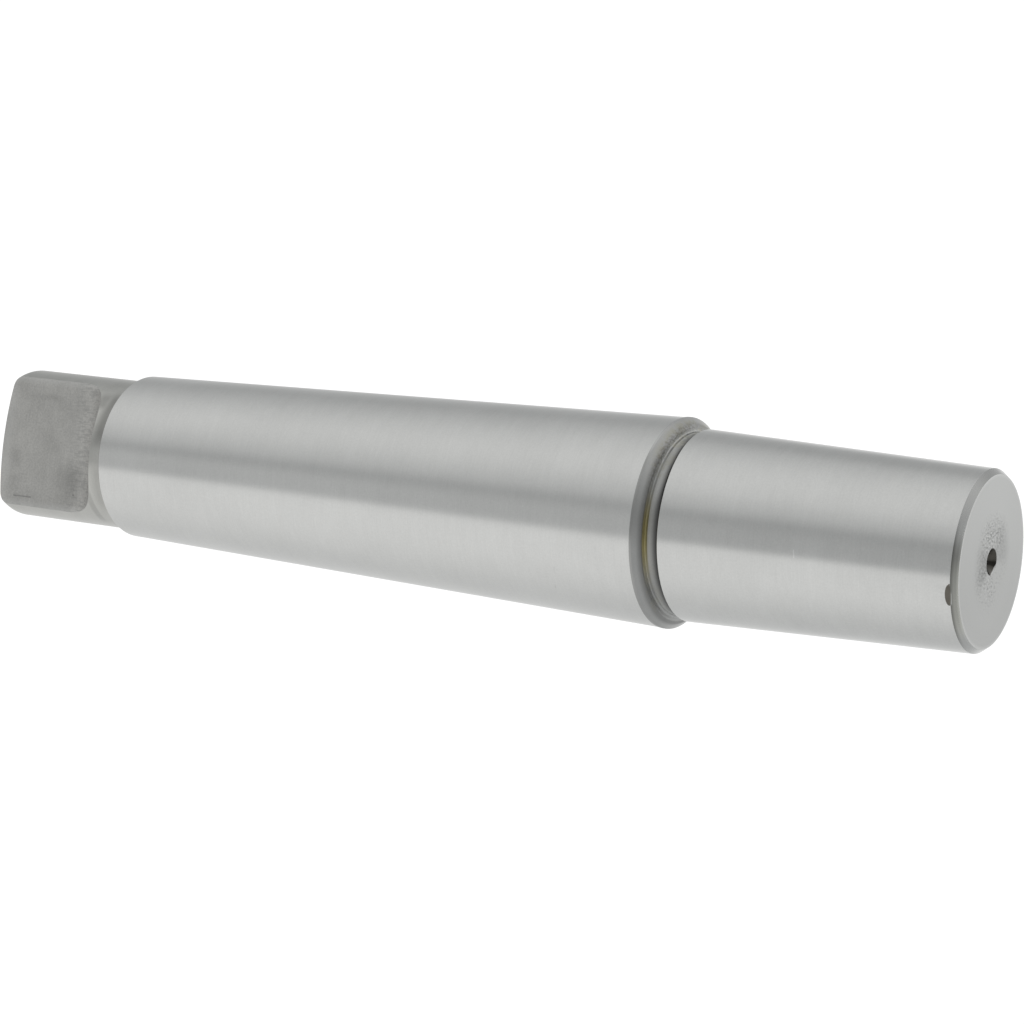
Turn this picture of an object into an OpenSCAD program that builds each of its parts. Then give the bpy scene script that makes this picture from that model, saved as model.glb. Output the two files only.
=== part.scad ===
// Drill chuck arbor, turned, milled and ground from one bar.
// It stands on its nose face at z = 0 with the tang up. The axis is Z, and the tang's
// flats face -Y and +Y. Sizes are in millimetres.

/* [Nose taper] */
// Diameter at which the nose taper would meet the plane of the nose face
nose_end_d = 26.34; // [25:0.01:28]
// Diameter that the nose taper gains in each millimetre away from the nose face
nose_rate = 0.052405; // [0.03:0.000005:0.07]
// Length from the nose face to the big end of the nose taper
nose_len = 45.65; // [30:0.05:60]
// Length along the axis of the chamfer round the nose face
nose_chamfer_len = 0.95; // [0.5:0.05:3]
// Depth of that chamfer towards the axis
nose_chamfer_depth = 0.75; // [0.3:0.05:3]

/* [Relief groove] */
// Length of the groove between the nose taper and the collar
groove_len = 2.25; // [1.5:0.05:5]
// Diameter of the groove's floor
groove_d = 27.4; // [24:0.1:28]
// Fillet radius in the floor's corner beside the nose taper
groove_fillet = 0.55; // [0.1:0.05:0.6]
// Fillet radius in the floor's corner beside the collar
wall_fillet = 0.4; // [0.1:0.05:0.6]

/* [Collar] */
// Height of the collar's land above the big end of the shank taper
collar_rise = 0.07; // [0.02:0.01:1]
// Length of the land
collar_land = 0.35; // [0.2:0.05:5]
// Size of the 45 degree chamfer from the land down to the groove
collar_chamfer = 1.15; // [0.5:0.05:1.7]
// Radius where the chamfer turns into the groove's wall
collar_round = 1; // [0.1:0.05:1]

/* [Shank taper] */
// Diameter at the big end of the shank taper
shank_big_d = 31.6; // [31:0.01:36]
// Length in which the shank taper loses one millimetre of diameter
shank_run = 19.254; // [18:0.001:30]
// Length of the shank taper
shank_len = 98.4; // [60:0.1:110]
// Size of the broken edge at the small end
shank_break = 0.35; // [0.1:0.05:0.4]

/* [Tang] */
// Diameter of the turned tang
tang_d = 24.5; // [20:0.1:25]
// Length from the small end of the shank taper to the tang's end
tang_len = 25.6; // [24:0.1:40]
// Fillet radius at the foot of the tang
tang_foot_fillet = 0.4; // [0.1:0.05:0.6]
// Thickness across the two flats
flats_w = 11.9; // [8:0.1:18]
// Length of each flat, from the tang's end to the start of the run-out
flats_len = 15.4; // [10:0.1:16.5]
// Radius of the cutter that leaves the run-out at the end of each flat
flats_cutter_r = 8; // [5:0.1:9]
// Radius of the domed end
dome_r = 57; // [30:0.5:150]
// Radius of the corner between the dome and the turned side
dome_corner_r = 1.9; // [0.5:0.1:4]

/* [Centre holes] */
// Mouth diameter of the centre hole in the nose face
nose_centre_d = 3.9; // [3:0.1:10]
// Mouth diameter of the centre hole in the tang's end
tang_centre_d = 5; // [3:0.1:8]
// Angle of both centre holes
centre_angle = 60; // [50:1:90]
// Diameter of the pilot hole behind each centre hole
pilot_d = 2; // [1:0.1:2.8]
// Depth of the pilot hole's full diameter, from the mouth
pilot_depth = 4.5; // [3:0.1:10]
// Point angle of the drill that made the pilot holes
drill_angle = 118; // [90:1:140]

/* [Nick] */
// Direction of the nick on the nose's edge, in degrees from +X
nick_angle = -114.2; // [-180:0.1:180]
// Height of the nick's middle above the nose face
nick_height = 1.1; // [0.8:0.05:3]
// Length of the nick round the edge
nick_len = 3.1; // [1:0.1:6]
// Width of the nick along the axis
nick_w = 1.1; // [0.4:0.1:3]

/* [Hidden] */
$fn = 120;
// How far a cutter reaches past the surface that it cuts
over = 1;

// Heights of the shoulders, from the nose face up
wall_z = nose_len + groove_len;
land_z = wall_z + collar_chamfer;
shank_z = land_z + collar_land;
foot_z = shank_z + shank_len;
top_z = foot_z + tang_len;

nose_face_r = nose_r(nose_chamfer_len) - nose_chamfer_depth;
land_r = shank_big_d / 2 + collar_rise;
tang_r = tang_d / 2;

// Centre of the dome, and centre of the corner circle that touches the dome and the side
dome_at = [0, top_z - dome_r];
corner_r = tang_r - dome_corner_r;
corner_at = [corner_r, dome_at[1] + sqrt(pow(dome_r - dome_corner_r, 2) - pow(corner_r, 2))];
dome_drop = dome_r - sqrt(pow(dome_r, 2) - pow(tang_r + over, 2));

function nose_r(z) = (nose_end_d + nose_rate * z) / 2;
function shank_r(z) = (shank_big_d - (z - shank_z) / shank_run) / 2;
function polar(angle, length) = length * [cos(angle), sin(angle)];

// The piece between a corner and a circle of radius r that touches both of its edges.
// The edges leave the corner in the directions from_angle and to_angle. The piece is
// taken away from a corner that stands out, and added to one that goes in.
module corner_piece(at, from_angle, to_angle, r) {
    half = (to_angle - from_angle) / 2;
    reach = r / tan(half);
    centre = at + polar(from_angle + half, r / sin(half));
    difference() {
        polygon([at, at + polar(from_angle, reach), centre, at + polar(to_angle, reach)]);
        translate(centre) circle(r);
    }
}

// Half of the arbor's section with sharp corners, radius along X and height along Y
module turned_outline() {
    polygon([
        [0, 0],
        [nose_face_r, 0],
        [nose_r(nose_chamfer_len), nose_chamfer_len],
        [nose_r(nose_len), nose_len],
        [groove_d / 2, nose_len],
        [groove_d / 2, wall_z],
        [land_r - collar_chamfer, wall_z],
        [land_r, land_z],
        [land_r, shank_z],
        [shank_big_d / 2, shank_z],
        [shank_r(foot_z - shank_break), foot_z - shank_break],
        [shank_r(foot_z) - shank_break, foot_z],
        [tang_r, foot_z],
        [tang_r, top_z],
        [0, top_z]
    ]);
}

// What turning takes off the square end of the tang: the dome and its round corner
module dome_cut() {
    outward = (corner_at - dome_at) / norm(corner_at - dome_at);
    difference() {
        translate([0, top_z - dome_drop]) square([tang_r + over, dome_drop + over]);
        translate(dome_at) circle(dome_r, $fn = 720);
    }
    difference() {
        polygon([
            corner_at,
            corner_at + (dome_corner_r + over) * outward,
            [tang_r + over, top_z + over],
            [tang_r + over, corner_at[1]]
        ]);
        translate(corner_at) circle(dome_corner_r);
    }
}

// Section of a centre hole whose mouth lies at height 0 and which runs upwards
module centre_section(mouth_d) {
    half = centre_angle / 2;
    cone_len = (mouth_d - pilot_d) / 2 / tan(half);
    polygon([
        [0, -over],
        [mouth_d / 2 + over * tan(half), -over],
        [pilot_d / 2, cone_len],
        [pilot_d / 2, pilot_depth],
        [0, pilot_depth + pilot_d / 2 / tan(drill_angle / 2)]
    ]);
}

// Half of the finished section
module turned_section() {
    difference() {
        union() {
            turned_outline();
            corner_piece([groove_d / 2, nose_len], 0, 90, groove_fillet);
            corner_piece([groove_d / 2, wall_z], -90, 0, wall_fillet);
            corner_piece([tang_r, foot_z], 0, 90, tang_foot_fillet);
        }
        corner_piece([land_r - collar_chamfer, wall_z], 45, 180, collar_round);
        dome_cut();
        centre_section(nose_centre_d);
        translate([0, top_z]) mirror([0, 1]) centre_section(tang_centre_d);
    }
}

// The room that the milling cutter sweeps beside the +Y flat, with its round run-out
module flat_cut() {
    flat_z = top_z - flats_len;
    rotate([90, 0, 90]) translate([0, 0, -tang_d]) linear_extrude(2 * tang_d) {
        translate([flats_w / 2, flat_z]) square([tang_r, flats_len + over]);
        translate([flats_w / 2 + flats_cutter_r, flat_z]) circle(flats_cutter_r);
    }
}

// The dent that a hard straight edge left, lying across the big end of the nose's chamfer
module nick() {
    surface_r = nose_r(nick_height);
    bottom_r = sqrt(pow(surface_r, 2) - pow(nick_len / 2, 2));
    depth = surface_r - bottom_r;
    edge_round = (pow(nick_w / 2, 2) + pow(depth, 2)) / (2 * depth);
    rotate(nick_angle) translate([bottom_r + edge_round, 0, nick_height])
        rotate([90, 0, 0]) cylinder(h = 2 * nick_len, r = edge_round, center = true);
}

module arbor() {
    color("silver") difference() {
        rotate_extrude() turned_section();
        flat_cut();
        mirror([0, 1, 0]) flat_cut();
        nick();
    }
}

arbor();
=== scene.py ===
import math

import bpy
from mathutils import Matrix, Vector


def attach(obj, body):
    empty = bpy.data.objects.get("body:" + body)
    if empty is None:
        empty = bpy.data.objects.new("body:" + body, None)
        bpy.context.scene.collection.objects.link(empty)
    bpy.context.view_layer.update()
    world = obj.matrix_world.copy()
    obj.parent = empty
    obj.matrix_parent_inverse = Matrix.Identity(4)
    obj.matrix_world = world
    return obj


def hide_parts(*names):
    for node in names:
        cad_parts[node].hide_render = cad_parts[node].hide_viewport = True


# Drill chuck arbor: one bar of steel, turned, milled and ground. It stands on its nose
# face at height 0 with the tang up. Its own sizes are in millimetres.

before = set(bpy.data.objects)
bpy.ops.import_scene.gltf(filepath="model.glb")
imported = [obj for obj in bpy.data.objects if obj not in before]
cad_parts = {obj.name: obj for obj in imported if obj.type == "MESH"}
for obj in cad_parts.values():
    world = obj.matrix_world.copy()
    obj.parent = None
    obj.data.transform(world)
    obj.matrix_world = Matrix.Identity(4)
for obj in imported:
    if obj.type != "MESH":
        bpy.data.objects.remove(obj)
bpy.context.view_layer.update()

MM = 0.001

# Nose taper, for the chuck
nose_end_d = 26.34
nose_rate = 0.052405
nose_len = 45.65
nose_chamfer_len = 0.95
nose_chamfer_depth = 0.75

# Relief groove
groove_len = 2.25
groove_d = 27.4
groove_fillet = 0.55
wall_fillet = 0.4

# Collar
collar_rise = 0.07
collar_land = 0.35
collar_chamfer = 1.15
collar_round = 1

# Shank taper, for the spindle
shank_big_d = 31.6
shank_run = 19.254
shank_len = 98.4
shank_break = 0.35

# Tang
tang_d = 24.5
tang_len = 25.6
tang_foot_fillet = 0.4
flats_w = 11.9
flats_len = 15.4
flats_cutter_r = 8
dome_r = 57
dome_corner_r = 1.9

# Centre holes
nose_centre_d = 3.9
tang_centre_d = 5
centre_half_angle = math.radians(30)
pilot_d = 2
pilot_depth = 4.5
drill_half_angle = math.radians(59)

# Knock on the nose's edge
nick_angle = math.radians(-114.2)
nick_height = 1.1
nick_len = 3.1
nick_w = 1.1
nick_out = Vector((math.cos(nick_angle), math.sin(nick_angle), 0))
nick_line = Vector((-math.sin(nick_angle), math.cos(nick_angle), 0))

# How finely the shape is divided: steps round the axis and along each arc, the radians of
# a small arc in one step, and the distance of the rings along a long stretch and at its ends
round_steps = 256
corner_steps = 12
dome_steps = 10
run_out_steps = 40
knock_steps = 180
arc_step = 0.25
ring_step = 2.5
edge_ring = 0.2

# How far sharp edges are stoned, how near points are merged, and up to which angle between
# two faces the edge looks smooth
stoned_edge = 0.08
weld_gap = 0.0005
smooth_angle = math.radians(32)

# Heights of the shoulders, from the nose face up
wall_z = nose_len + groove_len
land_z = wall_z + collar_chamfer
shank_z = land_z + collar_land
foot_z = shank_z + shank_len
top_z = foot_z + tang_len
flat_z = top_z - flats_len

tang_r = tang_d / 2
groove_r = groove_d / 2
land_r = shank_big_d / 2 + collar_rise
cutter_y = flats_w / 2 + flats_cutter_r
dome_z = top_z - dome_r


def nose_r(z):
    return (nose_end_d + nose_rate * z) / 2


def shank_r(z):
    return (shank_big_d - (z - shank_z) / shank_run) / 2


nose_face_r = nose_r(nose_chamfer_len) - nose_chamfer_depth


# The turned section


def rounded(before, at, after, radius):
    """The points of a small arc in place of a corner of the section."""
    here = Vector(at)
    back = (Vector(before) - here).normalized()
    ahead = (Vector(after) - here).normalized()
    half = back.angle(ahead) / 2
    centre = here + (back + ahead).normalized() * radius / math.sin(half)
    first = here + back * radius / math.tan(half) - centre
    last = here + ahead * radius / math.tan(half) - centre
    steps = max(3, round((math.pi - 2 * half) / arc_step))
    points = []
    for i in range(steps + 1):
        t = i / steps
        points.append(tuple(centre + (first * (1 - t) + last * t).normalized() * radius))
    return points


def with_rings(points):
    """The same section with rings along its long stretches, so that they shade evenly."""
    closer = [points[0]]
    for start, end in zip(points, points[1:]):
        a = Vector(start)
        b = Vector(end)
        length = (b - a).length
        if length > 4 * edge_ring:
            along = (b - a).normalized()
            inner_start = a + along * edge_ring
            inner_end = b - along * edge_ring
            parts = max(1, round((inner_end - inner_start).length / ring_step))
            for i in range(parts + 1):
                closer.append(tuple(inner_start.lerp(inner_end, i / parts)))
        closer.append(end)
    return closer


def arbor_section():
    """Half of the arbor's section, radius and height, from the nose's centre hole to the tang's."""
    pilot_r = pilot_d / 2
    drill_tip = pilot_depth + pilot_r / math.tan(drill_half_angle)
    nose_cone = (nose_centre_d / 2 - pilot_r) / math.tan(centre_half_angle)
    tang_cone = (tang_centre_d / 2 - pilot_r) / math.tan(centre_half_angle)
    tang_mouth_z = dome_z + math.sqrt(dome_r**2 - (tang_centre_d / 2) ** 2)
    corner_r = tang_r - dome_corner_r
    corner_z = dome_z + math.sqrt((dome_r - dome_corner_r) ** 2 - corner_r**2)
    dome_edge_angle = math.asin(corner_r / (dome_r - dome_corner_r))
    dome_edge_r = corner_r * dome_r / (dome_r - dome_corner_r)

    # Each corner of the section: radius, height, and how far it is rounded
    corners = [
        (0, drill_tip, 0),
        (pilot_r, pilot_depth, 0),
        (pilot_r, nose_cone, 0),
        (nose_centre_d / 2, 0, stoned_edge),
        (nose_face_r, 0, stoned_edge),
        (nose_r(nose_chamfer_len), nose_chamfer_len, stoned_edge),
        (nose_r(nose_len), nose_len, stoned_edge),
        (groove_r, nose_len, groove_fillet),
        (groove_r, wall_z, wall_fillet),
        (land_r - collar_chamfer, wall_z, collar_round),
        (land_r, land_z, stoned_edge),
        (land_r, shank_z, 0),
        (shank_big_d / 2, shank_z, 0),
        (shank_r(foot_z - shank_break), foot_z - shank_break, stoned_edge),
        (shank_r(foot_z) - shank_break, foot_z, stoned_edge),
        (tang_r, foot_z, tang_foot_fillet),
        (tang_r, corner_z, 0),
    ]
    section = [corners[0][:2]]
    for before, at, after in zip(corners, corners[1:], corners[2:]):
        if at[2]:
            section += rounded(before[:2], at[:2], after[:2], at[2])
        else:
            section.append(at[:2])

    # The round corner of the tang's end, and the dome as far as the centre hole
    for i in range(corner_steps + 1):
        turn = (math.pi / 2 - dome_edge_angle) * i / corner_steps
        r = corner_r + dome_corner_r * math.cos(turn)
        section.append((r, corner_z + dome_corner_r * math.sin(turn)))
    for i in range(1, dome_steps + 1):
        r = dome_edge_r * (1 - i / dome_steps) + tang_centre_d / 2 * i / dome_steps
        section.append((r, dome_z + math.sqrt(dome_r**2 - r**2)))
    section.append((pilot_r, tang_mouth_z - tang_cone))
    section.append((pilot_r, top_z - pilot_depth))
    section.append((0, top_z - drill_tip))
    return with_rings(section)


# Drawing and cutting


def draw_chain(name, points):
    """A chain of edges, drawn by extruding one point from place to place."""
    bpy.ops.object.select_all(action="DESELECT")
    bpy.ops.mesh.primitive_plane_add(size=MM, location=(0, 0, 0))
    chain = bpy.context.object
    chain.name = name
    bpy.ops.object.mode_set(mode="EDIT")
    bpy.ops.mesh.select_all(action="SELECT")
    bpy.ops.mesh.merge(type="CENTER")
    bpy.ops.transform.translate(value=Vector(points[0]) * MM)
    for here, there in zip(points, points[1:]):
        step = (Vector(there) - Vector(here)) * MM
        bpy.ops.mesh.extrude_vertices_move(TRANSFORM_OT_translate={"value": step})
    return chain


def close_up():
    """Merges the doubles of the mesh that is being edited and turns its faces outwards."""
    bpy.ops.mesh.select_all(action="SELECT")
    bpy.ops.mesh.remove_doubles(threshold=weld_gap * MM)
    bpy.ops.mesh.normals_make_consistent(inside=False)


def turn_bar():
    """The bar as it leaves the lathe and the grinder: the section spun round the axis."""
    bar = draw_chain("chuck_arbor", [(r, 0, z) for r, z in arbor_section()])
    bpy.ops.mesh.select_all(action="SELECT")
    bpy.ops.mesh.spin(
        steps=round_steps, angle=2 * math.pi, center=(0, 0, 0), axis=(0, 0, 1)
    )
    close_up()
    bpy.ops.object.mode_set(mode="OBJECT")
    return bar


def cut_away(piece, cutter):
    """Takes the cutter's room out of the piece."""
    cut = piece.modifiers.new("cut", "BOOLEAN")
    cut.operation = "DIFFERENCE"
    cut.solver = "EXACT"
    cut.object = cutter
    bpy.ops.object.select_all(action="DESELECT")
    piece.select_set(True)
    bpy.context.view_layer.objects.active = piece
    bpy.ops.object.modifier_apply(modifier=cut.name)
    bpy.data.objects.remove(cutter)


def mill_flat(piece, side):
    """Mills one flat of the tang, with the cutter's round run-out at its lower end."""
    over = 1
    reach = tang_d
    outside = side * (tang_r + over)
    inside = side * flats_w / 2
    profile = [(outside, top_z + over), (inside, top_z + over), (inside, flat_z)]
    full = math.acos((cutter_y - tang_r - over) / flats_cutter_r)
    for i in range(1, run_out_steps + 1):
        turn = full * i / run_out_steps
        y = side * (cutter_y - flats_cutter_r * math.cos(turn))
        profile.append((y, flat_z - flats_cutter_r * math.sin(turn)))
    cutter = draw_chain("flat_cutter", [(-reach, y, z) for y, z in profile])
    bpy.ops.mesh.select_all(action="SELECT")
    bpy.ops.mesh.edge_face_add()
    bpy.ops.mesh.extrude_region_move(
        TRANSFORM_OT_translate={"value": (2 * reach * MM, 0, 0)}
    )
    close_up()
    bpy.ops.object.mode_set(mode="OBJECT")
    cut_away(piece, cutter)


def knock_edge(piece):
    """Cuts the dent that a hard straight edge left across the nose's chamfer edge, with a
    round bar square to the axis. Gives the bar's centre and radius."""
    surface_r = nose_r(nick_height)
    bottom_r = math.sqrt(surface_r**2 - (nick_len / 2) ** 2)
    depth = surface_r - bottom_r
    bar_r = ((nick_w / 2) ** 2 + depth**2) / (2 * depth)
    centre = nick_out * (bottom_r + bar_r) + Vector((0, 0, nick_height))
    bpy.ops.object.select_all(action="DESELECT")
    bpy.ops.mesh.primitive_cylinder_add(
        vertices=knock_steps,
        radius=bar_r * MM,
        depth=2 * nick_len * MM,
        location=centre * MM,
        rotation=(math.pi / 2, 0, nick_angle),
    )
    cut_away(piece, bpy.context.object)
    return centre, bar_r


# Shader building

nodes_in_row = 12
node_step = 300


def add_node(tree, kind, **settings):
    """Adds a node with its settings. The nodes stand in rows, in the order they were made."""
    node = tree.nodes.new(kind)
    row, place = divmod(len(tree.nodes), nodes_in_row)
    node.location = (node_step * place, -node_step * row)
    for key, value in settings.items():
        setattr(node, key, value)
    return node


def feed(tree, socket, value):
    """Links a socket to another socket, or gives it a value of its own."""
    if isinstance(value, bpy.types.NodeSocket):
        tree.links.new(value, socket)
    else:
        socket.default_value = value


def calc(tree, operation, a, b=0.0, c=0.0, clamp=False):
    node = add_node(tree, "ShaderNodeMath", operation=operation, use_clamp=clamp)
    for socket, value in zip(node.inputs, (a, b, c)):
        feed(tree, socket, value)
    return node.outputs[0]


def vector_calc(tree, operation, a, b=(0, 0, 0), scale=1.0):
    node = add_node(tree, "ShaderNodeVectorMath", operation=operation)
    feed(tree, node.inputs[0], a)
    feed(tree, node.inputs[1], b)
    if operation == "SCALE":
        feed(tree, node.inputs["Scale"], scale)
    return node.outputs["Value"] if operation in ("LENGTH", "DOT_PRODUCT") else node.outputs[0]


def step_up(tree, value, low, high, to_low=0.0, to_high=1.0):
    """A smooth step: to_low below low, to_high above high."""
    node = add_node(tree, "ShaderNodeMapRange", interpolation_type="SMOOTHSTEP")
    feed(tree, node.inputs["Value"], value)
    feed(tree, node.inputs["From Min"], low)
    feed(tree, node.inputs["From Max"], high)
    feed(tree, node.inputs["To Min"], to_low)
    feed(tree, node.inputs["To Max"], to_high)
    return node.outputs["Result"]


def noise(tree, place, scale=1.0, detail=2.0, rough=0.5):
    node = add_node(tree, "ShaderNodeTexNoise")
    feed(tree, node.inputs["Vector"], place)
    feed(tree, node.inputs["Scale"], scale)
    feed(tree, node.inputs["Detail"], detail)
    feed(tree, node.inputs["Roughness"], rough)
    return node.outputs["Fac"]


def mix_colour(tree, factor, a, b, blend="MIX"):
    """Two colours mixed by a factor. This node has them on its sockets 6 and 7."""
    node = add_node(tree, "ShaderNodeMix", data_type="RGBA", blend_type=blend)
    feed(tree, node.inputs[0], factor)
    feed(tree, node.inputs[6], a)
    feed(tree, node.inputs[7], b)
    return node.outputs[2]


def new_group(name, inputs, outputs):
    """An empty group with the sockets of its two ends."""
    group = bpy.data.node_groups.new(name, "ShaderNodeTree")
    for label, value in inputs.items():
        kind = "NodeSocketFloat" if isinstance(value, (int, float)) else "NodeSocketVector"
        socket = group.interface.new_socket(name=label, in_out="INPUT", socket_type=kind)
        socket.default_value = value
    for label in outputs:
        kind = "NodeSocketVector" if label == "Place" else "NodeSocketFloat"
        group.interface.new_socket(name=label, in_out="OUTPUT", socket_type=kind)
    way_in = add_node(group, "NodeGroupInput")
    way_out = add_node(group, "NodeGroupOutput")
    return group, way_in.outputs, way_out.inputs


def place_group(tree, group, **values):
    """Puts a group into a tree, feeds its inputs and gives its outputs."""
    node = add_node(tree, "ShaderNodeGroup", node_tree=group)
    node.label = group.name
    for key, value in values.items():
        feed(tree, node.inputs[key], value)
    return node.outputs


def make_arbor_place():
    """Where a point of the arbor is: in millimetres, its radius, its height and its direction."""
    group, _, out = new_group("arbor_place", {}, ["Place", "Radius", "Height", "Direction"])
    where = add_node(group, "ShaderNodeTexCoord").outputs["Object"]
    place = vector_calc(group, "SCALE", where, scale=1 / MM)
    split = add_node(group, "ShaderNodeSeparateXYZ")
    feed(group, split.inputs[0], place)
    flat = add_node(group, "ShaderNodeCombineXYZ")
    feed(group, flat.inputs[0], split.outputs[0])
    feed(group, flat.inputs[1], split.outputs[1])
    turn = calc(group, "ARCTAN2", split.outputs[1], split.outputs[0])
    feed(group, out["Place"], place)
    feed(group, out["Radius"], vector_calc(group, "LENGTH", flat.outputs[0]))
    feed(group, out["Height"], split.outputs[2])
    feed(group, out["Direction"], calc(group, "DEGREES", turn))
    return group


def make_tool_lines(arbor_place):
    """Fine lines left by a turning tool or a wheel, round the axis. Facing is 0 on a side
    and 1 on an end face, Pitch is in millimetres, and Breaks is how often a line changes."""
    group, given, out = new_group(
        "tool_lines", {"Pitch": 0.2, "Facing": 0.0, "Breaks": 3.0}, ["Fine", "Wide"]
    )
    spot = place_group(group, arbor_place)
    rest = calc(group, "SUBTRACT", 1.0, given["Facing"])
    side = calc(group, "MULTIPLY", spot["Height"], rest)
    across = calc(group, "MULTIPLY_ADD", spot["Radius"], given["Facing"], side)
    count = calc(group, "DIVIDE", across, given["Pitch"])
    turn = calc(group, "RADIANS", spot["Direction"])
    round_x = calc(group, "COSINE", turn)
    round_y = calc(group, "SINE", turn)
    join = add_node(group, "ShaderNodeCombineXYZ")
    feed(group, join.inputs[0], calc(group, "MULTIPLY", round_x, given["Breaks"]))
    feed(group, join.inputs[1], calc(group, "MULTIPLY", round_y, given["Breaks"]))
    feed(group, join.inputs[2], count)
    wider = vector_calc(group, "MULTIPLY", join.outputs[0], (0.5, 0.5, 0.13))
    feed(group, out["Fine"], noise(group, join.outputs[0], 1.0, 2.0, 0.6))
    feed(group, out["Wide"], noise(group, wider, 1.0, 3.0, 0.6))
    return group


def make_patches(arbor_place):
    """Cloudy variation of a handled steel surface. Size is in millimetres."""
    group, given, out = new_group("cloudy_patches", {"Size": 8.0, "Grain": 0.5}, ["Cloud", "Grit"])
    spot = place_group(group, arbor_place)
    coarse = calc(group, "DIVIDE", 1.0, given["Size"])
    fine = calc(group, "DIVIDE", 1.0, given["Grain"])
    cloud = vector_calc(group, "SCALE", spot["Place"], scale=coarse)
    grit = vector_calc(group, "SCALE", spot["Place"], scale=fine)
    feed(group, out["Cloud"], noise(group, cloud, 1.0, 4.0, 0.55))
    feed(group, out["Grit"], noise(group, grit, 1.0, 2.0, 0.7))
    return group


def make_scratch(arbor_place):
    """One straight scratch between two places, in millimetres."""
    group, given, out = new_group(
        "scratch", {"Start": (0.0, 0.0, 0.0), "End": (0.0, 0.0, 1.0), "Width": 0.1}, ["Mask"]
    )
    spot = place_group(group, arbor_place)
    reach = vector_calc(group, "SUBTRACT", spot["Place"], given["Start"])
    line = vector_calc(group, "SUBTRACT", given["End"], given["Start"])
    onto = vector_calc(group, "DOT_PRODUCT", reach, line)
    size = vector_calc(group, "DOT_PRODUCT", line, line)
    share = calc(group, "DIVIDE", onto, size, clamp=True)
    nearest = vector_calc(group, "SCALE", line, scale=share)
    gap = vector_calc(group, "SUBTRACT", reach, nearest)
    distance = vector_calc(group, "LENGTH", gap)
    feed(group, out["Mask"], step_up(group, distance, 0.0, given["Width"], 1.0, 0.0))
    return group


arbor_place = make_arbor_place()
tool_lines = make_tool_lines(arbor_place)
cloudy_patches = make_patches(arbor_place)
scratch = make_scratch(arbor_place)


def times(tree, *factors):
    """The product of all that is given."""
    product = factors[0]
    for factor in factors[1:]:
        product = calc(tree, "MULTIPLY", product, factor)
    return product


# Directions are in degrees from +X towards +Y. The camera stands towards -90, and in its view
# more negative directions lie lower on the arbor and those towards 0 lie higher.


def between(tree, value, start, full_from, full_to, end):
    """1 between two values, such as directions, fading to 0 on both sides."""
    rise = step_up(tree, value, start, full_from)
    fall = step_up(tree, value, full_to, end, 1.0, 0.0)
    return times(tree, rise, fall)


def near(tree, value, base, *steps):
    """The same, with its four values counted from a base, such as the height of a shoulder."""
    return between(tree, value, *[base + step for step in steps])


def round_back(tree, turn, start, full):
    """1 from one direction on and round the back, where it fades to 0 before -180 degrees."""
    return between(tree, turn, start, full, 100.0, 170.0)


def new_steel(name, roughness, anisotropic=0.0):
    """A bare steel material. Its grain runs round the axis."""
    material = bpy.data.materials.new(name)
    material.use_nodes = True
    tree = material.node_tree
    shader = tree.nodes["Principled BSDF"]
    shader.inputs["Metallic"].default_value = 1.0
    shader.inputs["Roughness"].default_value = roughness
    shader.inputs["Anisotropic"].default_value = anisotropic
    shader.inputs["Anisotropic Rotation"].default_value = 0.25
    return material, tree, shader


def grey(value, warmth=0.0):
    """A grey, or a brownish one with some warmth."""
    return (value * (1 + warmth), value, value * (1 - 2 * warmth), 1.0)


def steel(value):
    """The grey of bare steel, a touch warmer than the studio's white."""
    return (0.994 * value, value, 0.978 * value, 1.0)


black = grey(0.0)

# Old oil that has dried on the collar and in the groove: a thin film, and thick specks
stain_brown = (0.37, 0.355, 0.27, 1.0)
speck_brown = grey(0.13, 0.08)

# The two values of a noise between which a finish goes from one tone to the other
noise_low = 0.3
noise_high = 0.7


def base_tones(tree, shader, share, dark, light):
    """The base colour: dark where the share is 0 and light where it is 1."""
    feed(tree, shader.inputs["Base Color"], mix_colour(tree, share, dark, light))


def tone_over(tree, shader, share, colour, blend="MIX"):
    """Lays one more colour over the base colour that the shader has so far."""
    so_far = shader.inputs["Base Color"].links[0].from_socket
    feed(tree, shader.inputs["Base Color"], mix_colour(tree, share, so_far, colour, blend))


def darken(tree, shader, *shares):
    """Takes the base colour down towards black, by the product of all the shares."""
    tone_over(tree, shader, times(tree, *shares), black)


def mark(tree, shader, scratches):
    """Lays scratches over the base colour. Each has a start, an end and a width in
    millimetres, a share and a colour."""
    for start, end, width, share, colour in scratches:
        line = place_group(tree, scratch, Start=start, End=end, Width=width)
        tone_over(tree, shader, times(tree, line["Mask"], share), colour)


def vary_roughness(tree, shader, value, low, high):
    """Roughness from low to high as a noise goes from one tone to the other."""
    rough = step_up(tree, value, noise_low, noise_high, low, high)
    feed(tree, shader.inputs["Roughness"], rough)


def relief(tree, shader, height, depth_mm, strength=1.0):
    """A bump of the given depth from a height between 0 and 1."""
    bump = add_node(tree, "ShaderNodeBump")
    bump.inputs["Strength"].default_value = strength
    bump.inputs["Distance"].default_value = depth_mm * MM
    feed(tree, bump.inputs["Height"], height)
    feed(tree, shader.inputs["Normal"], bump.outputs["Normal"])


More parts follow.
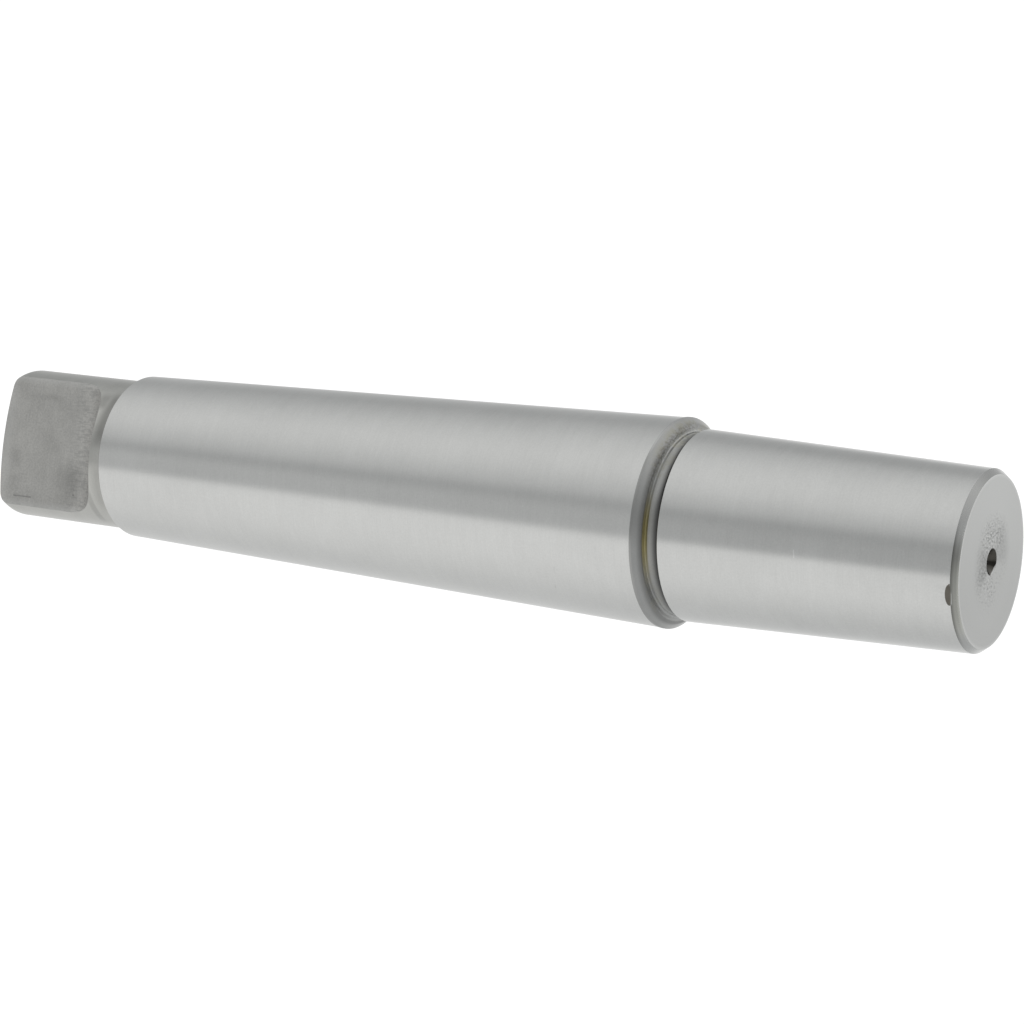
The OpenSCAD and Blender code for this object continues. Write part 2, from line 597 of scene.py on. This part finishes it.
def ground_taper_steel():
    """Both tapers: fine wheel lines round the axis, faint clouding and a few light scratches."""
    material, tree, shader = new_steel("ground_taper", 0.3, 0.9)
    lines = place_group(tree, tool_lines, Pitch=0.18, Facing=0.0, Breaks=5.0)
    clouds = place_group(tree, cloudy_patches, Size=11.0, Grain=0.28)
    wide = times(tree, lines["Wide"], 0.5)
    blend = calc(tree, "MULTIPLY_ADD", lines["Fine"], 0.5, wide)
    cloud = times(tree, clouds["Cloud"], 0.3)
    mottle = calc(tree, "MULTIPLY_ADD", clouds["Grit"], 0.5, cloud)
    tone = calc(tree, "MULTIPLY_ADD", blend, 0.6, mottle)
    base_tones(tree, shader, tone, steel(0.477), steel(0.697))
    mark(tree, shader, [
        ((-8.9, -12.64, 62.5), (-11.85, -9.9, 63.3), 0.12, 0.35, grey(0.3)),
        ((-1.9, -13.67, 24.3), (-2.95, -13.48, 24.2), 0.12, 0.5, grey(0.95)),
    ])
    vary_roughness(tree, shader, blend, 0.276, 0.3)
    relief(tree, shader, lines["Fine"], 0.0008)
    return material


def turned_steel(name, facing, dark, light, roughness=0.36, pitch=0.16):
    """A turned or faced surface with the tool's lines round the axis."""
    material, tree, shader = new_steel(name, roughness, 0.5)
    lines = place_group(tree, tool_lines, Pitch=pitch, Facing=facing, Breaks=2.0)
    clouds = place_group(tree, cloudy_patches, Size=5.0, Grain=0.25)
    cloud = times(tree, clouds["Cloud"], 0.35)
    mottle = calc(tree, "MULTIPLY_ADD", clouds["Grit"], 0.3, cloud)
    blend = calc(tree, "MULTIPLY_ADD", lines["Wide"], 0.35, mottle)
    tone = step_up(tree, blend, noise_low, noise_high)
    base_tones(tree, shader, tone, steel(dark), steel(light))
    vary_roughness(tree, shader, blend, roughness - 0.04, roughness + 0.04)
    relief(tree, shader, lines["Fine"], 0.0015)
    return material, tree, shader


def collar_steel():
    """The collar: its ground land, with painted shade in front and painted light round the back,
    its turned chamfer, with painted shade where that rounds into the groove, and old oil that has
    dried brown."""
    material, tree, shader = turned_steel("turned_collar", 0.5, 0.40, 0.48)
    spot = place_group(tree, arbor_place)
    height, turn = spot["Height"], spot["Direction"]
    clouds = place_group(tree, cloudy_patches, Size=1.6, Grain=0.4)

    # The land: painted shade in front and painted light round the back
    land = step_up(tree, height, land_z - 0.02, land_z + 0.05)
    back = round_back(tree, turn, -60.0, -40.0)
    front = calc(tree, "SUBTRACT", 1.0, back)
    land_front = times(tree, land, front)
    tone_over(tree, shader, land_front, grey(0.78), "MULTIPLY")
    tone_over(tree, shader, times(tree, land, back), steel(0.56))

    # Painted shade where the chamfer rounds into the groove, less of it round the back
    foot = step_up(tree, height, wall_z + 0.75, wall_z + 0.15)
    depth = calc(tree, "MULTIPLY_ADD", back, -0.24, 0.38)
    darken(tree, shader, foot, depth)

    # A thin film of old oil towards the upper end, and specks of it next to the groove
    side = between(tree, turn, -75.0, -35.0, 20.0, 60.0)
    low = step_up(tree, height, wall_z + 1.1, wall_z + 0.5)
    oil = calc(tree, "MULTIPLY_ADD", clouds["Grit"], 0.4, clouds["Cloud"])
    film = step_up(tree, oil, 0.55, 0.85, 0.0, 0.5)
    tone_over(tree, shader, times(tree, side, low, film), stain_brown)
    upper = between(tree, turn, -86.0, -54.0, -15.0, 10.0)
    lowest = step_up(tree, height, wall_z + 0.6, wall_z + 0.25)
    specks = step_up(tree, clouds["Grit"], 0.42, 0.62, 0.0, 0.42)
    tone_over(tree, shader, times(tree, upper, lowest, specks), speck_brown)
    return material


def nose_chamfer_steel():
    """The chamfer round the nose face: bright turned steel, with painted shade low in front, round
    the back and along its outer edge in front, a painted highlight along its inner edge, and a
    painted highlight on the burred edge beside the knock."""
    material, tree, shader = turned_steel("nose_chamfer", 0.5, 0.52, 0.56, 0.25)
    spot = place_group(tree, arbor_place)
    height, turn = spot["Height"], spot["Direction"]
    # Painted shade low in front and in two bands round the back
    lower = between(tree, turn, -150.0, -110.0, -92.0, -76.0)
    tone_over(tree, shader, lower, grey(0.76), "MULTIPLY")
    darken(tree, shader, round_back(tree, turn, -80.0, -62.0), 0.18)
    darken(tree, shader, round_back(tree, turn, -45.0, -25.0), 0.13)
    # Painted shade along the outer edge in front, and a painted highlight along the inner edge
    front = between(tree, turn, -170.0, -140.0, -88.0, -60.0)
    outer = step_up(tree, height, 0.5, nose_chamfer_len, 0.0, 0.45)
    darken(tree, shader, front, outer)
    inner = step_up(tree, height, 0.35, 0.0, 0.0, 0.4)
    tone_over(tree, shader, times(tree, front, inner), steel(0.85))
    warm = between(tree, turn, -156.0, -134.0, -100.0, -70.0)
    tone_over(tree, shader, warm, (1.0, 0.995, 0.94, 1.0), "MULTIPLY")
    # A painted highlight on the burred edge beside the knock
    by_nick = near(tree, turn, math.degrees(nick_angle), -7, -5, 0, 3)
    burr_highlight = step_up(tree, height, 0.74, 0.79, 0.0, 0.5)
    tone_over(tree, shader, times(tree, by_nick, burr_highlight), steel(0.8))
    return material


def nose_face_steel():
    """The faced nose: smooth and satin, with painted light towards +X and a painted highlight along
    its rim, and hazy pitted patches round the centre hole."""
    material, tree, shader = new_steel("faced_nose", 0.4, 0.3)
    spot = place_group(tree, arbor_place)
    place, radius, turn = spot["Place"], spot["Radius"], spot["Direction"]
    lines = place_group(tree, tool_lines, Pitch=0.25, Facing=1.0, Breaks=1.5)
    clouds = place_group(tree, cloudy_patches, Size=3.2, Grain=0.3)

    # Bare steel, with painted light towards +X and a painted highlight along the rim
    split = add_node(tree, "ShaderNodeSeparateXYZ")
    feed(tree, split.inputs[0], place)
    across = step_up(tree, split.outputs[0], -12.0, 9.0)
    grit = times(tree, clouds["Grit"], 0.35)
    tone = calc(tree, "MULTIPLY_ADD", lines["Wide"], 0.15, grit)
    tone = calc(tree, "MULTIPLY_ADD", across, 0.55, tone)
    base_tones(tree, shader, tone, steel(0.51), steel(0.65))
    rim = step_up(tree, radius, nose_face_r - 0.6, nose_face_r, 0.0, 0.4)
    tone_over(tree, shader, rim, steel(0.8))

    # Haze round the hole, broken up where the pits are
    up = between(tree, turn, -85.0, -50.0, 5.0, 90.0)
    down = between(tree, turn, -125.0, -95.0, 130.0, 175.0)
    down = calc(tree, "MULTIPLY_ADD", down, -0.45, 0.7)
    patchy = calc(tree, "MAXIMUM", up, down)
    near_hole = step_up(tree, radius, 4.0, 8.0, 1.0, 0.0)
    patch = step_up(tree, clouds["Cloud"], 0.3, 0.6, 0.4, 1.0)
    haze = times(tree, patch, patchy, near_hole)
    grain = vector_calc(tree, "MULTIPLY", place, (3.0, 1.5, 1.0))
    pit_noise = noise(tree, grain, 1.0, 2.0, 0.7)
    broken = step_up(tree, pit_noise, 0.36, 0.62, 0.1, 0.9)
    tone_over(tree, shader, times(tree, haze, broken), steel(0.51))

    # Darker patches left and right of the hole, as the camera sees it
    left = between(tree, turn, -155.0, -128.0, -84.0, -52.0)
    left_near = step_up(tree, radius, 2.8, 7.2, 0.42, 0.0)
    left_broken = calc(tree, "MULTIPLY_ADD", broken, 0.5, 0.4)
    darken(tree, shader, left, left_near, left_broken)
    right = between(tree, turn, 5.0, 30.0, 70.0, 100.0)
    right_near = step_up(tree, radius, 4.5, 7.5, 0.15, 0.0)
    darken(tree, shader, right, right_near)

    # Pits, and painted glints on what stands up between them
    deep = step_up(tree, pit_noise, 0.53, 0.66)
    pits = times(tree, haze, deep)
    tone_over(tree, shader, pits, steel(0.26))
    high = step_up(tree, pit_noise, 0.44, 0.3)
    tone_over(tree, shader, times(tree, haze, high, 0.6), steel(0.9))
    rough = calc(tree, "MULTIPLY_ADD", haze, 0.08, 0.4)
    feed(tree, shader.inputs["Roughness"], rough)
    relief(tree, shader, calc(tree, "SUBTRACT", 1.0, pits), 0.02, 0.5)
    return material


def groove_steel():
    """The relief groove: dull turned steel, with painted shade beside the nose taper and in the
    corner of the collar's wall, painted highlights as light lines on the floor and the wall, a
    straw temper tint in that corner and brown stains."""
    material, tree, shader = turned_steel("relief_groove", 0.0, 0.43, 0.54, 0.46, 0.12)
    spot = place_group(tree, arbor_place)
    radius, height, turn = spot["Radius"], spot["Height"], spot["Direction"]
    clouds = place_group(tree, cloudy_patches, Size=1.6, Grain=0.4)

    # Painted shade in a band beside the nose taper
    narrow = between(tree, turn, -88.0, -66.0, -38.0, -18.0)
    band_height = calc(tree, "MULTIPLY_ADD", narrow, 0.24, height)
    band = step_up(tree, band_height, nose_len + 0.4, wall_z - 0.5, 1.0, 0.0)
    depth = calc(tree, "MULTIPLY_ADD", narrow, 0.2, 0.8)
    darken(tree, shader, band, depth)

    # Painted shade in the wall's corner, deeper round the back
    corner = near(tree, height, wall_z, -0.45, -0.32, -0.18, -0.08)
    back = round_back(tree, turn, -165.0, -135.0)
    depth = calc(tree, "MULTIPLY_ADD", back, 0.28, 0.12)
    darken(tree, shader, corner, depth)

    # Painted highlights: a light line on the floor at both ends, and one at the foot of the wall
    # between them
    lower = step_up(tree, turn, -138.0, -155.0)
    upper = step_up(tree, turn, -48.0, -32.0)
    ends = calc(tree, "MAXIMUM", lower, upper)
    floor = near(tree, height, wall_z, -0.9, -0.6, -0.45, -0.32)
    tone_over(tree, shader, times(tree, ends, floor, 0.36), steel(0.85))
    lower = between(tree, turn, -135.0, -122.0, -108.0, -98.0)
    upper = between(tree, turn, -82.0, -68.0, -40.0, -18.0)
    sides = calc(tree, "MAXIMUM", lower, upper)
    wall = near(tree, height, wall_z, -0.14, -0.06, 0.02, 0.1)
    tone_over(tree, shader, times(tree, sides, wall, 0.45), steel(0.9))

    # Painted shade: a dark line in the corner, a darker lower part of the floor, and the wall's
    # dark round
    line = near(tree, height, wall_z, -0.42, -0.32, -0.2, -0.12)
    back = round_back(tree, turn, -52.0, -40.0)
    middle = between(tree, turn, -122.0, -102.0, -92.0, -76.0)
    deep = calc(tree, "MAXIMUM", back, middle)
    darken(tree, shader, line, deep, 0.36)
    lower = between(tree, turn, -148.0, -132.0, -108.0, -96.0)
    off_corner = step_up(tree, height, wall_z - 0.45, wall_z - 0.3, 0.1, 0.0)
    darken(tree, shader, lower, off_corner)
    brow = step_up(tree, height, wall_z, wall_z + 0.06)
    back = round_back(tree, turn, -60.0, -38.0)
    depth = calc(tree, "MULTIPLY_ADD", back, -0.24, 0.38)
    darken(tree, shader, brow, depth)

    # The straw tint in the corner
    low = step_up(tree, height, wall_z - 0.46, wall_z - 0.26)
    inner = step_up(tree, radius, groove_r + 1.1, groove_r + 0.7)
    front = between(tree, turn, -140.0, -102.0, -96.0, -68.0)
    tint = times(tree, low, inner, front)
    tone_over(tree, shader, tint, (1.15, 1.0, 0.5, 1.0), "MULTIPLY")

    # A thin film of old oil at both ends, but not on the band of painted shade
    upper = round_back(tree, turn, -80.0, -45.0)
    lower = between(tree, turn, -165.0, -145.0, -125.0, -108.0)
    lower = times(tree, lower, 0.5)
    ends = calc(tree, "MAXIMUM", upper, lower)
    oil = calc(tree, "MULTIPLY_ADD", clouds["Grit"], 0.5, clouds["Cloud"])
    film = step_up(tree, oil, 0.66, 0.88, 0.0, 0.42)
    off_band = calc(tree, "SUBTRACT", 1.0, band)
    tone_over(tree, shader, times(tree, ends, film, off_band), stain_brown)

    # Towards the upper end, light grain on the floor and specks of old oil on the wall
    grain = step_up(tree, clouds["Grit"], 0.42, 0.6)
    on_wall = step_up(tree, radius, groove_r + 0.45, groove_r + 0.7)
    off_wall = calc(tree, "SUBTRACT", 1.0, on_wall)
    back = round_back(tree, turn, -55.0, -20.0)
    light = times(tree, grain, back, off_wall)
    tone_over(tree, shader, light, grey(1.3), "MULTIPLY")
    upper = between(tree, turn, -86.0, -54.0, -15.0, 10.0)
    specks = times(tree, grain, 0.4, on_wall, upper)
    tone_over(tree, shader, specks, speck_brown)
    return material


def tang_steel():
    """The turned side of the tang, with painted shade where it meets the shank's end."""
    material, tree, shader = turned_steel("turned_tang", 0.0, 0.44, 0.54, 0.32, 0.2)
    spot = place_group(tree, arbor_place)
    height, turn = spot["Height"], spot["Direction"]
    tone_over(tree, shader, 1.0, (1.0, 0.995, 0.965, 1.0), "MULTIPLY")

    # Painted shade in front, and a thin darker line lower down and one higher up
    foot = step_up(tree, height, foot_z + 1.0, foot_z + 3.0, 1.0, 0.0)
    right = between(tree, turn, -92.0, -76.0, -48.0, -34.0)
    left = between(tree, turn, -150.0, -128.0, -110.0, -98.0)
    left = times(tree, left, 0.2)
    around = calc(tree, "MULTIPLY_ADD", right, 0.45, left)
    darken(tree, shader, foot, around)
    below = between(tree, turn, -165.0, -150.0, -128.0, -120.0)
    line = near(tree, height, foot_z, 2.6, 3.1, 3.7, 4.4)
    darken(tree, shader, below, line, 0.2)
    above = between(tree, turn, -60.0, -53.0, -47.0, -38.0)
    line = near(tree, height, foot_z, 1.8, 2.8, 3.4, 4.8)
    darken(tree, shader, above, line, 0.3)
    return material


def milled_steel():
    """The tang's flats: dull and speckled, with darker smears, painted highlights along the long
    edges and towards the end, short marks in the run-out, a scratch and two specks."""
    material, tree, shader = new_steel("milled_flat", 0.5)
    spot = place_group(tree, arbor_place)
    place, height = spot["Place"], spot["Height"]
    clouds = place_group(tree, cloudy_patches, Size=4.5, Grain=0.35)
    speckle = noise(tree, place, 3.2, 2.0, 0.7)
    streaks = vector_calc(tree, "MULTIPLY", place, (0.35, 0.35, 2.0))
    streak = noise(tree, streaks, 1.0, 3.0, 0.6)
    cloud = times(tree, clouds["Cloud"], 0.35)
    tone = calc(tree, "MULTIPLY_ADD", streak, 0.15, cloud)
    tone = calc(tree, "MULTIPLY_ADD", speckle, 0.5, tone)
    share = step_up(tree, tone, noise_low, noise_high)
    base_tones(tree, shader, share, steel(0.38), steel(0.56))
    tone_over(tree, shader, 1.0, (1.02, 1.005, 0.985, 1.0), "MULTIPLY")

    # Painted highlights along the long edges and towards the end, and short marks in the run-out
    split = add_node(tree, "ShaderNodeSeparateXYZ")
    feed(tree, split.inputs[0], place)
    sideways = calc(tree, "ABSOLUTE", split.outputs[0])
    long_edge = step_up(tree, sideways, 9.3, 10.7, 0.0, 0.3)
    tone_over(tree, shader, long_edge, steel(0.7))
    run_out = step_up(tree, height, flat_z + 2.0, flat_z - 1.0)
    strokes = vector_calc(tree, "MULTIPLY", place, (3.4, 1.0, 0.5))
    stroke = noise(tree, strokes, 1.0, 1.0, 0.5)
    stroke = step_up(tree, stroke, 0.5, 0.62, 0.0, 0.36)
    tone_over(tree, shader, times(tree, run_out, stroke), steel(0.3))
    end = step_up(tree, height, top_z - 3.0, top_z - 1.0, 0.0, 0.2)
    tone_over(tree, shader, end, steel(0.75))

    # Each smear has its middle, how fast it fades along X, Y and Z, and its depth
    flat_y = -flats_w / 2
    smears = [
        ((-5.4, flat_y, 158.4), (0.2, 1.0, 0.28), 0.2),
        ((-8.2, flat_y, 157.0), (0.4, 1.0, 0.4), 0.1),
        ((7.7, flat_y, 164.5), (1.1, 1.0, 0.24), 0.14),
        ((-2.5, flat_y, 170.0), (0.4, 1.0, 0.5), 0.10),
    ]
    for middle, fade, depth in smears:
        away = vector_calc(tree, "SUBTRACT", place, middle)
        away = vector_calc(tree, "MULTIPLY", away, fade)
        far = vector_calc(tree, "LENGTH", away)
        far = calc(tree, "MULTIPLY_ADD", clouds["Cloud"], 1.2, far)
        darken(tree, shader, step_up(tree, far, 0.5, 1.7, depth, 0.0))
    mark(tree, shader, [
        ((-9.18, flat_y, 169.5), (-9.13, flat_y, 165.9), 0.2, 0.45, grey(0.1)),
        ((-7.88, flat_y, 157.2), (-7.88, flat_y, 157.1), 0.22, 0.6, grey(0.1)),
        ((-0.75, flat_y, 155.8), (-1.1, flat_y, 156.2), 0.16, 0.4, grey(0.1)),
    ])
    vary_roughness(tree, shader, tone, 0.46, 0.56)
    relief(tree, shader, speckle, 0.004)
    return material


def hole_steel():
    """Inside the centre holes: dark, partly painted shade and partly old oil, with painted light on
    one side, painted shade on another, and a painted highlight round part of the mouth."""
    material, tree, shader = new_steel("centre_hole", 0.32)
    spot = place_group(tree, arbor_place)
    radius, turn = spot["Radius"], spot["Direction"]
    clouds = place_group(tree, cloudy_patches, Size=1.6, Grain=0.2)
    # A very dark base: painted shade in the hole, with the brown tint of old oil
    base_tones(tree, shader, clouds["Cloud"], grey(0.044, 0.06), grey(0.13, 0.06))
    # Painted light on one side and painted shade on another
    lighter = between(tree, turn, 112.0, 158.0, 166.0, 180.0)
    lighter = times(tree, lighter, 0.6)
    tone_over(tree, shader, lighter, grey(0.22, 0.03))
    darker = between(tree, turn, 78.0, 90.0, 104.0, 116.0)
    tone_over(tree, shader, darker, grey(0.4), "MULTIPLY")

    # A painted highlight round part of the mouth, which reaches a little deeper on one side
    part = between(tree, turn, 88.0, 118.0, 150.0, 180.0)
    highlight_r = calc(tree, "MULTIPLY_ADD", part, 0.12, radius)
    mouth_r = nose_centre_d / 2
    mouth_highlight = step_up(tree, highlight_r, mouth_r - 0.025, mouth_r + 0.01)
    tone_over(tree, shader, mouth_highlight, steel(0.62))
    vary_roughness(tree, shader, clouds["Grit"], 0.26, 0.4)
    relief(tree, shader, clouds["Grit"], 0.004)
    return material


def bruised_steel():
    """The knocked edge: torn and darker."""
    material, tree, shader = new_steel("knocked_edge", 0.45)
    clouds = place_group(tree, cloudy_patches, Size=1.2, Grain=0.15)
    base_tones(tree, shader, clouds["Cloud"], grey(0.08, 0.06), grey(0.2, 0.07))
    vary_roughness(tree, shader, clouds["Grit"], 0.38, 0.55)
    relief(tree, shader, clouds["Grit"], 0.01)
    return material


# The arbor

arbor = turn_bar()
mill_flat(arbor, -1)
mill_flat(arbor, 1)
nick_centre, nick_r = knock_edge(arbor)

bpy.ops.object.mode_set(mode="EDIT")
bpy.ops.mesh.select_all(action="SELECT")
bpy.ops.mesh.remove_doubles(threshold=weld_gap * MM)
bpy.ops.mesh.select_all(action="DESELECT")
bpy.ops.object.mode_set(mode="OBJECT")
bpy.ops.object.shade_smooth_by_angle(angle=smooth_angle)
even = arbor.modifiers.new("even", "WEIGHTED_NORMAL")
even.keep_sharp = True
bpy.ops.object.modifier_apply(modifier=even.name)

finishes = {
    "ground_taper": ground_taper_steel(),
    "turned_collar": collar_steel(),
    "nose_chamfer": nose_chamfer_steel(),
    "faced_nose": nose_face_steel(),
    "relief_groove": groove_steel(),
    "milled_flat": milled_steel(),
    "turned_tang": tang_steel(),
    "tang_end": turned_steel("tang_end", 1.0, 0.44, 0.54, 0.4, 0.3)[0],
    "centre_hole": hole_steel(),
    "knocked_edge": bruised_steel(),
}


# What tells the finishes apart, in millimetres: the height below which the knock lies and
# how near its faces are to the bar, how far in the centre holes end, how near a face is to
# an end plane or to a side, and how far the groove's wall rounds over, up and out
knock_top = 3
bar_gap = 0.003
hole_end = 6
end_gap = 0.01
side_gap = 0.02
wall_up = 0.25
wall_out = 0.3

# How closely a face looks the way of a flat, of a run-out or of the tang's end, as a cosine
flat_facing = 0.999
run_out_facing = 0.995
end_facing = 0.5


def finish_of(face):
    """The finish that a face of the arbor has, from its place and direction."""
    at = face.center / MM
    r = math.hypot(at.x, at.y)
    to_bar = nick_centre - at
    to_bar -= to_bar.dot(nick_line) * nick_line
    on_bar = abs(to_bar.length - nick_r) < bar_gap and face.normal.dot(to_bar) > 0
    if at.z < knock_top and on_bar:
        return "knocked_edge"
    if at.z < hole_end and r < nose_centre_d / 2:
        return "centre_hole"
    if at.z > top_z - hole_end and r < tang_centre_d / 2:
        return "centre_hole"
    if at.z < end_gap:
        return "faced_nose"
    if at.z < nose_chamfer_len:
        return "nose_chamfer"
    if at.z < nose_len - side_gap:
        return "ground_taper"
    if at.z < wall_z + wall_up and r < land_r - collar_chamfer + wall_out:
        return "relief_groove"
    if at.z < shank_z + end_gap:
        return "turned_collar"
    if at.z < foot_z - shank_break:
        return "ground_taper"
    side = math.copysign(1, at.y)
    on_flat = abs(at.y * side - flats_w / 2) < side_gap
    if on_flat and abs(face.normal.y * side) > flat_facing:
        return "milled_flat"
    to_cutter = Vector((0, side * cutter_y - at.y, flat_z - at.z))
    if at.z < flat_z and face.normal.dot(to_cutter.normalized()) > run_out_facing:
        return "milled_flat"
    if at.z > flat_z and face.normal.z > end_facing:
        return "tang_end"
    return "turned_tang"


for finish in finishes.values():
    arbor.data.materials.append(finish)
numbers = {name: i for i, name in enumerate(finishes)}
for face in arbor.data.polygons:
    face.material_index = numbers[finish_of(face)]

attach(arbor, "root")
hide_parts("arbor")


# The floor, the light and the camera

floor_drop = 0.05
floor_r = 3000
floor_sides = 96


def lay_floor():
    """A plain pale floor just under the nose face. The camera stands lower than the floor,
    so the floor isn't seen from below and takes no light from the nose face."""
    bpy.ops.object.select_all(action="DESELECT")
    bpy.ops.mesh.primitive_circle_add(
        vertices=floor_sides,
        radius=floor_r * MM,
        fill_type="NGON",
        location=(0, 0, -floor_drop * MM),
    )
    floor = bpy.context.object
    floor.name = "studio_floor"
    material = bpy.data.materials.new("studio_floor")
    material.use_nodes = True
    tree = material.node_tree
    shader = tree.nodes["Principled BSDF"]
    shader.inputs["Roughness"].default_value = 0.9
    shader.inputs["Specular IOR Level"].default_value = 0.0
    where = add_node(tree, "ShaderNodeTexCoord").outputs["Object"]
    cloud = noise(tree, where, 6.0, 3.0, 0.5)
    base_tones(tree, shader, cloud, grey(0.88), grey(0.91))
    below = add_node(tree, "ShaderNodeNewGeometry").outputs["Backfacing"]
    clear = add_node(tree, "ShaderNodeBsdfTransparent")
    choice = add_node(tree, "ShaderNodeMixShader")
    feed(tree, choice.inputs[0], below)
    feed(tree, choice.inputs[1], shader.outputs[0])
    feed(tree, choice.inputs[2], clear.outputs[0])
    feed(tree, tree.nodes["Material Output"].inputs["Surface"], choice.outputs[0])
    floor.data.materials.append(material)
    floor.visible_diffuse = False
    floor.visible_glossy = False
    floor.visible_transmission = False
    floor.visible_shadow = False


# How bright the white studio is round the arbor, in degrees from +X towards +Y: high up, a
# little above level, and from level down. The dark strips are the gaps between the diffusers.
studio_high = [
    (-180, 0.84), (-150, 0.90), (-131, 0.94), (-117, 0.94), (-111, 0.62), (-92, 0.67),
    (-79, 0.48), (-66, 0.64), (-48, 0.74), (-27, 0.80), (-6, 0.71), (17, 0.54),
    (37, 0.42), (57, 0.55), (78, 0.85), (90, 1.0), (105, 0.88), (126, 0.81),
    (146, 0.76), (167, 0.80), (180, 0.84),
]
studio_level = [
    (-180, 0.76), (-150, 0.905), (-117, 0.905), (-111, 0.445), (-90, 0.43), (-79, 0.43),
    (-68, 0.64), (-48, 0.82), (-27, 0.83), (-6, 0.77), (15, 0.63), (35, 0.405),
    (56, 0.43), (76, 0.95), (90, 1.0), (105, 0.85), (126, 0.66), (146, 0.63),
    (167, 0.68), (180, 0.76),
]
studio_low = [
    (-180, 0.53), (-165, 0.57), (-145, 0.56), (-120, 0.49), (-104, 0.40), (-90, 0.32),
    (-75, 0.33), (-60, 0.38), (-35, 0.55), (-12, 0.69), (15, 0.77), (32, 0.74),
    (45, 0.61), (60, 0.67), (78, 0.71), (105, 0.73), (122, 0.58), (135, 0.55),
    (150, 0.55), (165, 0.59), (180, 0.53),
]
studio_above = 0.6
studio_strength = 1.1

# A light as bright as a diffuser, and one as dark as a gap
diffuser_level = 0.85
gap_level = 0.5


def studio_tone(level):
    """The light of a diffuser, or the slightly cooler light of a gap."""
    gap = min(1, max(0, (diffuser_level - level) / (diffuser_level - gap_level)))
    return (level * (1 - 0.016 * gap), level, level * (1 + 0.009 * gap), 1)


def diffuser_row(tree, levels, share):
    """One row of diffusers: its colour by the share of a turn from -180 degrees."""
    ramp = add_node(tree, "ShaderNodeValToRGB")
    stops = ramp.color_ramp.elements
    while len(stops) > 1:
        stops.remove(stops[-1])
    stops[0].position = 0
    stops[0].color = studio_tone(levels[0][1])
    for degrees, level in levels[1:]:
        stop = stops.new((degrees + 180) / 360)
        stop.color = studio_tone(level)
    feed(tree, ramp.inputs[0], share)
    return ramp.outputs["Color"]


def light_studio():
    """Soft light from all round, plain white where the camera looks past the arbor."""
    world = bpy.data.worlds.new("studio")
    bpy.context.scene.world = world
    world.use_nodes = True
    tree = world.node_tree
    tree.nodes.clear()
    way = add_node(tree, "ShaderNodeTexCoord").outputs["Generated"]
    split = add_node(tree, "ShaderNodeSeparateXYZ")
    feed(tree, split.inputs[0], way)
    turn = calc(tree, "ARCTAN2", split.outputs[1], split.outputs[0])
    share = calc(tree, "MULTIPLY_ADD", turn, 1 / (2 * math.pi), 0.5)
    high = diffuser_row(tree, studio_high, share)
    level = diffuser_row(tree, studio_level, share)
    low = diffuser_row(tree, studio_low, share)
    rise = split.outputs[2]
    to_high = step_up(tree, rise, 0.38, 0.56)
    to_level = step_up(tree, rise, -0.2, 0.25)
    to_above = step_up(tree, rise, 0.75, 0.95)
    upper = mix_colour(tree, to_high, level, high)
    sides = mix_colour(tree, to_level, low, upper)
    whole = mix_colour(tree, to_above, sides, grey(studio_above))
    seen = add_node(tree, "ShaderNodeLightPath").outputs["Is Camera Ray"]
    colour = mix_colour(tree, seen, whole, grey(1.0))
    background = add_node(tree, "ShaderNodeBackground")
    feed(tree, background.inputs["Color"], colour)
    feed(tree, background.inputs["Strength"], studio_strength)
    out = add_node(tree, "ShaderNodeOutputWorld")
    feed(tree, out.inputs["Surface"], background.outputs[0])


def hang_softbox(name, place, size, power):
    """A square softbox that points at the middle of the arbor. Place is in millimetres."""
    light = bpy.data.lights.new(name, "AREA")
    light.shape = "SQUARE"
    light.size = size * MM
    light.energy = power
    lamp = bpy.data.objects.new(name, light)
    bpy.context.scene.collection.objects.link(lamp)
    lamp.location = Vector(place) * MM
    towards = Vector((0, 0, top_z / 2)) - Vector(place)
    lamp.rotation_euler = towards.to_track_quat("-Z", "Y").to_euler()
    lamp.visible_glossy = False


# The camera of the photograph, in millimetres: it lies to the front and below the nose
# face, because the real arbor was photographed lying down
camera_place = (-3.285, -400.063, -147.015)
camera_aim = (-1.51, 0.0, 77.85)
camera_up = (0.9918, -0.066, 0.1096)
camera_lens = 105.1


def set_camera():
    camera = bpy.data.objects.new("camera", bpy.data.cameras.new("camera"))
    bpy.context.scene.collection.objects.link(camera)
    camera.data.lens = camera_lens
    camera.data.sensor_width = 36
    camera.data.clip_start = 0.01
    camera.data.clip_end = 20
    back = (Vector(camera_place) - Vector(camera_aim)).normalized()
    right = Vector(camera_up).cross(back).normalized()
    up = back.cross(right)
    turn = Matrix((right, up, back)).transposed().to_4x4()
    camera.matrix_world = Matrix.Translation(Vector(camera_place) * MM) @ turn
    bpy.context.scene.camera = camera


lay_floor()
light_studio()
hang_softbox("high_softbox", place=(-350, -450, 900), size=600, power=6.0)
set_camera()
bpy.context.scene.view_settings.view_transform = "Standard"
